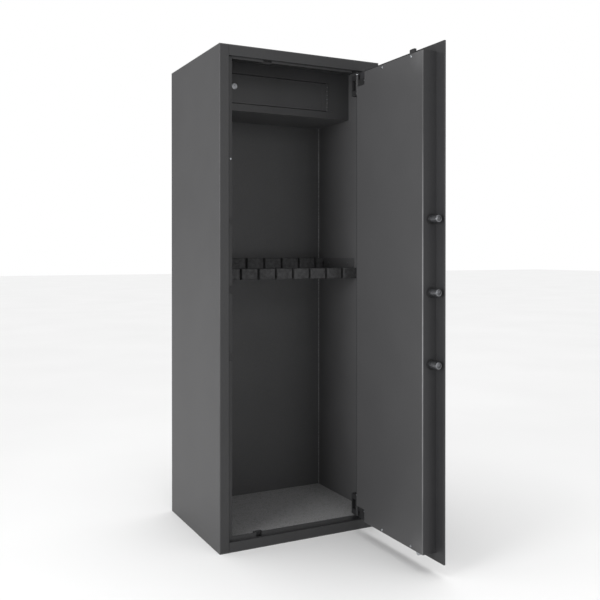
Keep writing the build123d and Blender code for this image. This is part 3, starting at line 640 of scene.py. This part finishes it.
# ------------------------------------------------------------------ sub-assemblies
@dataclass
class PanHeadScrews:
    """Pan-head screws with a cross recess, one for each solid of a node."""

    finish: Finish
    dome_share: float = 0.6
    dome_segments: int = 4
    facets: int = 40
    recess_share: float = 0.62
    recess_width_share: float = 0.2
    recess_depth_share: float = 0.55
    recess_taper: float = 0.45
    first_spin: float = 0.5
    next_spin: float = 1.1

    def head(self, radius: float, height: float) -> bpy.types.Object:
        """Builds one head at the origin, facing +Z.

        Args:
            radius: the head's radius, in metres.
            height: the head's height, in metres.

        Returns:
            The head.
        """
        head = start("screw_head", bpy.ops.mesh.primitive_cylinder_add, vertices=self.facets,
                     radius=radius, depth=height, location=(0, 0, height / 2))
        with editing(head):
            choose(head, "faces", lambda face: face.normal.z > 0.9)
            bpy.ops.mesh.bevel(offset=height * self.dome_share, segments=self.dome_segments,
                               affect="EDGES")
        for turn in (0.0, QUARTER):
            cut(head, self.recess(radius, height, turn))
        smooth(head)
        return head

    def recess(self, radius: float, height: float, turn: float) -> bpy.types.Object:
        """Builds the tool that cuts one tapering slot of the cross."""
        depth = height * self.recess_depth_share
        half = Vector((radius * self.recess_share, radius * self.recess_width_share, depth))
        middle = Vector((0, 0, height))
        tool = start_block("recess_tool", middle - half, middle + half)
        tool.data.transform(Matrix.Rotation(turn, 4, "Z"))
        with editing(tool):
            choose(tool, "faces", lambda face: face.normal.z < -0.9)
            bpy.ops.transform.resize(value=(self.recess_taper, self.recess_taper, 1.0),
                                     center_override=(0, 0, height - depth))
        return tool

    def fit(self, node: str, body: str, heading: Callable[[Box], Heading]) -> None:
        """Puts a head on each solid of a node and shows them instead of it.

        Args:
            node: the node of plain screw heads.
            body: the body that they move with.
            heading: tells which way the head in a box points.
        """
        boxes = solids(node)
        low, high = boxes[0]
        radius, height = (high.z - low.z) / 2, high.x - low.x
        pattern = self.head(radius, height)
        heads = []
        for index, (low, high) in enumerate(boxes):
            way = heading((low, high))
            centre = (low + high) / 2
            centre.x = high.x if way is Heading.LEFT else low.x
            spin = Matrix.Rotation(self.first_spin + self.next_spin * index, 4, "Z")
            turn = Matrix.Rotation(way.value[1], 4, "Y")
            heads.append(copy_to(pattern, Matrix.Translation(centre) @ turn @ spin))
        bpy.data.objects.remove(pattern)
        joined = join(heads, f"{node}_cross_recessed")
        hand_in(joined, self.finish, body, "zinc_steel", node)


@dataclass
class LockingBolts:
    """The door's round steel bolts, chamfered at the tip with a centre mark."""

    finish: Finish
    facets: int = 64
    chamfer: float = 1.8 * MM
    mark_radius: float = 4.2 * MM
    mark_rim: float = 0.8 * MM
    mark_depth: float = 1.6 * MM

    def bolt(self, low: Vector, high: Vector) -> bpy.types.Object:
        """Builds one bolt in its box, its tip towards -Y."""
        centre = (low + high) / 2
        length, radius = high.y - low.y, (high.z - low.z) / 2
        bolt = start("bolt", bpy.ops.mesh.primitive_cylinder_add, vertices=self.facets,
                     radius=radius, depth=length, location=centre, rotation=Heading.FRONT.value)
        with editing(bolt):
            choose(bolt, "faces", lambda face: face.normal.y < -0.9)
            bpy.ops.mesh.bevel(offset=self.chamfer, segments=3, affect="EDGES")
            choose(bolt, "faces", lambda face: face.normal.y < -0.95)
            bpy.ops.mesh.inset(thickness=radius - self.chamfer - self.mark_radius)
            choose(bolt, "faces", lambda face: face.normal.y < -0.95 and len(face.verts) > 4)
            bpy.ops.mesh.inset(thickness=self.mark_rim, depth=-self.mark_depth * 0.4)
            bpy.ops.mesh.inset(thickness=self.mark_radius * 0.6, depth=-self.mark_depth * 0.6)
        smooth(bolt)
        return bolt

    def fit(self) -> None:
        """Builds the bolts and shows them instead of the plain ones."""
        bolts = [self.bolt(low, high) for low, high in solids("locking_bolts")]
        hand_in(join(bolts, "turned_locking_bolts"), self.finish, "bolt_work", "polished_steel",
                "locking_bolts")


@dataclass
class GunRests:
    """The foam blocks that hold the barrels apart, softly rounded and slightly crowned."""

    finish: Finish
    corner: float = 3.4 * MM
    crown: float = 1.2 * MM
    fill: float = 0.9

    def block(self, low: Vector, high: Vector) -> bpy.types.Object:
        """Builds one block in its box, its face towards -Y."""
        block = start_block("foam_block", low, high)
        with editing(block, "EDGE"):
            choose(block, "edges", lambda edge: all(v.co.y < (low.y + high.y) / 2 for v in edge.verts))
            bpy.ops.mesh.bevel(offset=self.corner, segments=4, affect="EDGES")
        with editing(block):
            choose(block, "faces", lambda face: face.normal.y < -0.99)
            bpy.ops.mesh.inset(thickness=self.corner)
            bpy.ops.mesh.subdivide(number_cuts=4)
            for _ in range(2):
                bpy.ops.mesh.select_less()
                bpy.ops.transform.translate(value=(0, -self.crown / 2, 0))
        smooth(block, 50)
        return block

    def fit(self) -> None:
        """Builds both rows and shows them instead of the plain blocks."""
        for node, name in (("back_rest_blocks", "back_foam_rests"),
                           ("front_rest_blocks", "front_foam_rests")):
            blocks = [self.block(low, high) for low, high in solids(node)]
            row = hand_in(join(blocks, name), self.finish, "cabinet", "rest_foam", node)


@dataclass
class FloorMat:
    """The loose carpet mat on the cabinet's raised floor."""

    finish: Finish
    cuts: tuple[tuple[int, int], ...] = ((15, 16), (15, 10))
    loop: float = 4.0 * MM
    loop_height: float = 1.0 * MM
    lay: float = 45.0 * MM
    lay_height: float = 0.6 * MM

    def roughen(self, mat: bpy.types.Object, kind: str, size: float, height: float) -> None:
        """Raises a pattern of loops or waves on the mat's top."""
        texture = bpy.data.textures.new(f"mat_{kind.lower()}", kind)
        texture.noise_scale = size
        modify(mat, "DISPLACE", texture=texture, texture_coords="LOCAL", direction="Z",
               vertex_group="face", mid_level=0.9, strength=height)

    def fit(self) -> None:
        """Builds the mat and shows it instead of the plain one."""
        low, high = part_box("floor_mat")
        mat = start_block("looped_floor_mat", low, high)
        with editing(mat, "EDGE"):
            for axis, cuts in enumerate(self.cuts):
                for count in cuts:
                    choose(mat, "edges", lambda edge: self.along(edge, axis, high.z))
                    bpy.ops.mesh.subdivide(number_cuts=count)
        group = mat.vertex_groups.new(name="face")
        group.add([v.index for v in mat.data.vertices if v.co.z > high.z - 0.1 * MM], 1.0, "REPLACE")
        self.roughen(mat, "VORONOI", self.loop, self.loop_height)
        self.roughen(mat, "CLOUDS", self.lay, self.lay_height)
        smooth(mat, 60)
        hand_in(mat, self.finish, "cabinet", "carpet", "floor_mat")

    @staticmethod
    def along(edge: bmesh.types.BMEdge, axis: int, top: float) -> bool:
        """Whether an edge lies in the mat's top and runs along an axis."""
        first, second = (v.co for v in edge.verts)
        level = min(first.z, second.z) > top - 0.1 * MM
        return level and abs(first[axis] - second[axis]) > abs(first[1 - axis] - second[1 - axis])


@dataclass
class WeldBeads:
    """Ripple-surfaced weld beads in the cabinet's upright inner corners."""

    finish: Finish
    radius: float = 2.3 * MM
    ripple: float = 4.0 * MM
    facets: int = 12
    pinch: float = 0.84

    def bead(self, x: float, y: float, low: float, high: float) -> bpy.types.Object:
        """Builds one upright bead.

        Args:
            x: the corner's place across the cabinet.
            y: the corner's place front to back.
            low: the bead's lower end.
            high: the bead's upper end.

        Returns:
            The bead, closed at both ends.
        """
        count = round((high - low) / self.ripple)
        step = (high - low) / count
        bead = start("bead", bpy.ops.mesh.primitive_cylinder_add, vertices=self.facets,
                     radius=self.radius, depth=step, location=(x, y, low + step / 2))
        with editing(bead, "EDGE"):
            choose(bead, "edges", lambda edge: abs(edge.verts[0].co.z - edge.verts[1].co.z) > step / 2)
            bpy.ops.mesh.subdivide(number_cuts=3)
        for height in (low, low + step):
            with editing(bead, "VERT"):
                choose(bead, "verts", lambda vertex: abs(vertex.co.z - height) < 0.01 * MM)
                bpy.ops.transform.resize(value=(self.pinch, self.pinch, 1.0),
                                         center_override=(x, y, height))
        with editing(bead):
            choose(bead, "faces", lambda face: abs(face.normal.z) > 0.9)
            bpy.ops.mesh.delete(type="ONLY_FACE")
        modify(bead, "ARRAY", count=count, use_relative_offset=False, use_constant_offset=True,
               constant_offset_displace=(0, 0, step), use_merge_vertices=True,
               merge_threshold=0.05 * MM)
        with editing(bead, "EDGE"):
            bpy.ops.mesh.select_all(action="SELECT")
            bpy.ops.mesh.fill_holes(sides=self.facets)
            bpy.ops.mesh.select_all(action="SELECT")
            bpy.ops.mesh.normals_make_consistent(inside=False)
        smooth(bead, 60)
        return bead

    def fit(self) -> None:
        """Builds a bead up each back corner, below and above the gun rest."""
        floor_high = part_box("floor_mat")[1].z
        shelf_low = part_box("compartment_shelf")[0].z
        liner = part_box("back_liner")
        rest_low, rest_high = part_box("back_rest_bar")
        beads = []
        for x in (liner[0].x, liner[1].x):
            beads.append(self.bead(x, liner[0].y, floor_high, rest_low.z))
            beads.append(self.bead(x, liner[0].y, rest_high.z, shelf_low))
        hand_in(join(beads, "corner_weld_beads"), self.finish, "cabinet", "cabinet_paint")


@dataclass
class LeverHandle:
    """The outer lever: a round hub with a grip that thins to a rounded end."""

    finish: Finish
    facets: int = 64
    rim: float = 3.0 * MM
    face_ring: float = 2.2 * MM
    groove: float = 0.6 * MM
    groove_depth: float = 0.5 * MM
    grip_width: float = 21.0 * MM
    grip_depth: float = 15.5 * MM
    grip_set_back: float = 1.0 * MM
    root: float = 8.0 * MM
    sections: tuple[tuple[float, float], ...] = (
        (0.22, 0.92), (0.45, 0.80), (0.70, 0.78), (0.90, 0.80), (1.0, 0.55),
    )

    def fit(self) -> None:
        """Builds the hub and grip and shows them instead of the plain handle."""
        low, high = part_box("handle")
        spindle_low, spindle_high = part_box("handle_spindle")
        axis = (spindle_low + spindle_high) / 2
        radius = (high.z - low.z) / 2
        hub = start("handle_hub", bpy.ops.mesh.primitive_cylinder_add, vertices=self.facets,
                    radius=radius, depth=high.x - low.x,
                    location=((low.x + high.x) / 2, axis.y, axis.z), rotation=Heading.RIGHT.value)
        with editing(hub):
            choose(hub, "faces", lambda face: face.normal.x > 0.9)
            bpy.ops.mesh.bevel(offset=self.rim, segments=4, affect="EDGES")
            choose(hub, "faces", lambda face: face.normal.x > 0.95 and len(face.verts) > 4)
            bpy.ops.mesh.inset(thickness=self.face_ring)
            bpy.ops.mesh.inset(thickness=self.groove, depth=-self.groove_depth)
        smooth(hub)
        hand_in(join([hub, self.grip(low, high, axis)], "lever_handle"), self.finish, "handle",
                "satin_chrome", "handle")

    def grip(self, low: Vector, high: Vector, axis: Vector) -> bpy.types.Object:
        """Builds the grip from its root inside the hub to its rounded end.

        `sections` says how wide it is, as a share of its root, at shares of its length.
        """
        middle = (low.x + high.x) / 2 - self.grip_set_back
        length = high.y - axis.y
        centre = Vector((middle, axis.y, axis.z))
        half = Vector((self.grip_depth, self.root, self.grip_width)) / 2
        grip = start_block("handle_grip", centre - half, centre + half)
        reached = axis.y + self.root / 2
        with editing(grip):
            choose(grip, "faces", lambda face: face.normal.y > 0.9)
            sized = 1.0
            for share, wide in self.sections:
                target = axis.y + share * length
                bpy.ops.mesh.extrude_region_move(
                    TRANSFORM_OT_translate={"value": (0, target - reached, 0)})
                bpy.ops.transform.resize(value=(wide / sized, 1.0, wide / sized),
                                         center_override=(middle, target, axis.z))
                reached, sized = target, wide
        modify(grip, "SUBSURF", levels=3, render_levels=3)
        smooth(grip, 60)
        return grip


# ------------------------------------------------------------------ dressing the frame
def dress_frame(finishes: dict[str, Finish], special: dict[str, Finish]) -> None:
    """Gives every node of the frame its finish.

    Args:
        finishes: the finish for each of the record's material slots.
        special: the finish of the nodes that differ from their slot's.
    """
    for part in frame["record"]["subparts"]:
        name = part["node"]
        finish = special.get(name, finishes[part["material_slot"]])
        frame["nodes"][name].material_slots[0].material = finish.material()
        LOG.info("%s: %s", name, finish.name)


# ------------------------------------------------------------------ studio
@dataclass
class SoftLamp:
    """A large rectangular softbox; `spread` is how wide its grid lets the light out, in degrees."""

    name: str
    at: tuple[float, float, float]
    aim: tuple[float, float, float]
    size: tuple[float, float]
    power: float
    spread: float = 180.0

    def hang(self) -> None:
        """Puts the softbox in the studio."""
        data = bpy.data.lights.new(self.name, "AREA")
        data.shape = "RECTANGLE"
        data.size, data.size_y = self.size
        data.energy = self.power
        data.spread = math.radians(self.spread)
        lamp = bpy.data.objects.new(self.name, data)
        lamp.location = self.at
        away = Vector(self.at) - Vector(self.aim)
        lamp.rotation_euler = away.to_track_quat("Z", "Y").to_euler()
        bpy.context.scene.collection.objects.link(lamp)


@dataclass
class Studio:
    """A white studio with a pale floor, seen from the left at chest height."""

    camera_at: tuple[float, float, float] = (-1.1252, -2.3998, 0.8854)
    camera_yaw: float = 27.133
    camera_dip: float = 0.328
    lens: float = 47.63
    rise: float = -0.0707
    ambient: float = 0.47
    floor_size: float = 60.0
    top_light: float = 1.8

    def build(self) -> None:
        """Sets the floor, the light and the camera."""
        scene = bpy.context.scene
        scene.view_settings.view_transform = "Standard"
        self.surroundings(scene)
        self.floor()
        self.sun()
        for lamp in (
            SoftLamp("key_softbox", (-2.4, -1.1, 1.2), (-0.1, -0.2, 1.2), (1.2, 1.6), 15.0, 90.0),
            SoftLamp("front_softbox", (-0.4, -3.2, 1.5), (0.0, 0.0, 0.9), (1.6, 1.6), 5.0, 90.0),
        ):
            lamp.hang()
        self.camera(scene)

    def surroundings(self, scene: bpy.types.Scene) -> None:
        """Makes the room: bright white to look at, a soft grey as light."""
        world = bpy.data.worlds.new("white_studio")
        world.use_nodes = True
        tree = world.node_tree
        tree.nodes.clear()
        room = add_node(tree, "Background", {"Color": (1, 1, 1, 1), "Strength": self.ambient})
        seen = add_node(tree, "Background", {"Color": (1, 1, 1, 1), "Strength": 1.0})
        path = add_node(tree, "LightPath")
        mix = add_node(tree, "MixShader", [
            path.outputs["Is Camera Ray"], room.outputs[0], seen.outputs[0]])
        add_node(tree, "OutputWorld", {"Surface": mix.outputs[0]})
        scene.world = world

    def floor(self) -> None:
        """Lays the pale floor."""
        floor = start("studio_floor", bpy.ops.mesh.primitive_grid_add, x_subdivisions=8,
                      y_subdivisions=8, size=self.floor_size)
        floor.data.materials.append(PaintedFloor("painted_floor").material())

    def sun(self) -> None:
        """Adds an even light from straight above."""
        data = bpy.data.lights.new("ceiling_light", "SUN")
        data.energy = self.top_light
        data.angle = math.radians(70)
        lamp = bpy.data.objects.new("ceiling_light", data)
        lamp.location = (0, 0, 4)
        bpy.context.scene.collection.objects.link(lamp)

    def camera(self, scene: bpy.types.Scene) -> None:
        """Sets the camera up."""
        data = bpy.data.cameras.new("camera")
        data.lens = self.lens
        data.shift_y = self.rise
        camera = bpy.data.objects.new("camera", data)
        camera.location = self.camera_at
        camera.rotation_euler = (math.radians(90 - self.camera_dip), 0, -math.radians(self.camera_yaw))
        scene.collection.objects.link(camera)
        scene.camera = camera


@dataclass(frozen=True)
class PaintedFloor(Finish):
    """A studio floor in matt white paint, rolled on, so barely uneven in tone."""

    dark: str = "ededed"
    light: str = "f4f4f4"

    def shade(self, tree: Tree, place: Socket) -> Node:
        """Builds the paint's slow drift in tone."""
        drift = add_node(tree, "TexNoise", {"Vector": place, "Scale": per_mm(900.0)})
        tone = add_node(tree, "Mix", {
            0: drift.outputs["Fac"], 6: linear(self.dark), 7: linear(self.light)}, data_type="RGBA")
        return add_node(tree, "BsdfPrincipled", {
            "Base Color": tone.outputs[2],
            "Roughness": 0.9,
            "Specular IOR Level": 0.1,
        })


def main() -> None:
    """Builds and dresses the safe, then the studio round it."""
    logging.basicConfig(level=logging.INFO, format="%(message)s")
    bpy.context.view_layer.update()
    cabinet_coat = PowderCoat("powder_coat_cabinet", dark="363637", light="424243")
    # The lining and inside coats are the cabinet's paint made paler: painted light, standing in for light
    # that reaches inside the cabinet.
    lining_coat_painted_light = PowderCoat("powder_coat_lining_painted_light", dark="404041", light="4c4c4d", gloss=0.55)
    inside_coat_painted_light = PowderCoat("powder_coat_inside_painted_light", dark="4e4e4f", light="5c5c5d", gloss=0.55)
    # The frame's coat is the cabinet's paint made darker: painted shade on the front faces.
    frame_coat_painted_shade = PowderCoat("powder_coat_frame_painted_shade", dark="272728", light="313132", gloss=0.55)
    door_coat = PowderCoat("powder_coat_door", dark="28282a", light="333334")
    # The weld beads' pale coat is painted highlight: it stands in for the bright line of light along the
    # inner back corners.
    bead_coat_painted_highlight = PowderCoat("weld_bead_painted_highlight", dark="4c4c4d", light="8f8f90", grain=2.5)
    black_steel = PowderCoat("black_phosphated_steel", dark="202021", light="2c2c2d", grain=0.8)
    # The cover's coat has painted highlights about its lock-side corners and along its folded edge.
    low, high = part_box("door_cover")
    cover_coat = CoatWithPaintedHighlights("powder_coat_cover", dark="404041", light="49494a", corners=(
        (low.x, low.y, low.z), (low.x, low.y, high.z)), fold=(low.y, 0.85 * high.z))
    plated = PlatedSteel("zinc_plated_steel")
    turned = TurnedSteel("turned_steel")
    chrome = SatinChrome("satin_chrome_plate")
    foam = ClosedCellFoam("closed_cell_foam")
    carpet = LoopedCarpet("looped_needle_felt")
    dress_frame(
        {"cabinet_paint": cabinet_coat, "door_paint": door_coat, "zinc_steel": plated,
         "polished_steel": turned, "satin_chrome": chrome, "brass_key": WornBrass("worn_brass"),
         "rest_foam": foam, "carpet": carpet},
        {"door_cover": cover_coat, "back_liner": lining_coat_painted_light, "side_panel_right": inside_coat_painted_light,
         "rest_rail_right": lining_coat_painted_light, "rest_rail_left": lining_coat_painted_light, "compartment_shelf": inside_coat_painted_light,
         "bolt_bushes": MouldedNylon("moulded_nylon"), "top_bolt_bar": black_steel,
         "bottom_bolt_bar": plated, "hinge_bracket_top": black_steel,
         "hinge_bracket_bottom": black_steel, "hinge_arm_top": black_steel,
         "hinge_arm_bottom": black_steel,
         "frame_top": frame_coat_painted_shade, "frame_bottom": frame_coat_painted_shade, "frame_lock_side": frame_coat_painted_shade,
         "frame_hinge_side": frame_coat_painted_shade},
    )
    screws = PanHeadScrews(plated)
    screws.fit("cover_screws", "door", lambda box: Heading.LEFT)
    screws.fit("hinge_screws", "door", lambda box: Heading.LEFT)
    PanHeadScrews(lining_coat_painted_light).fit("rest_screws", "cabinet",
                                   lambda box: Heading.LEFT if box[0].x > 0 else Heading.RIGHT)
    LockingBolts(turned).fit()
    LeverHandle(chrome).fit()
    GunRests(foam).fit()
    FloorMat(carpet).fit()
    WeldBeads(bead_coat_painted_highlight).fit()
    Studio().build()
    bpy.ops.object.select_all(action="DESELECT")


if __name__ == "__main__":
    main()
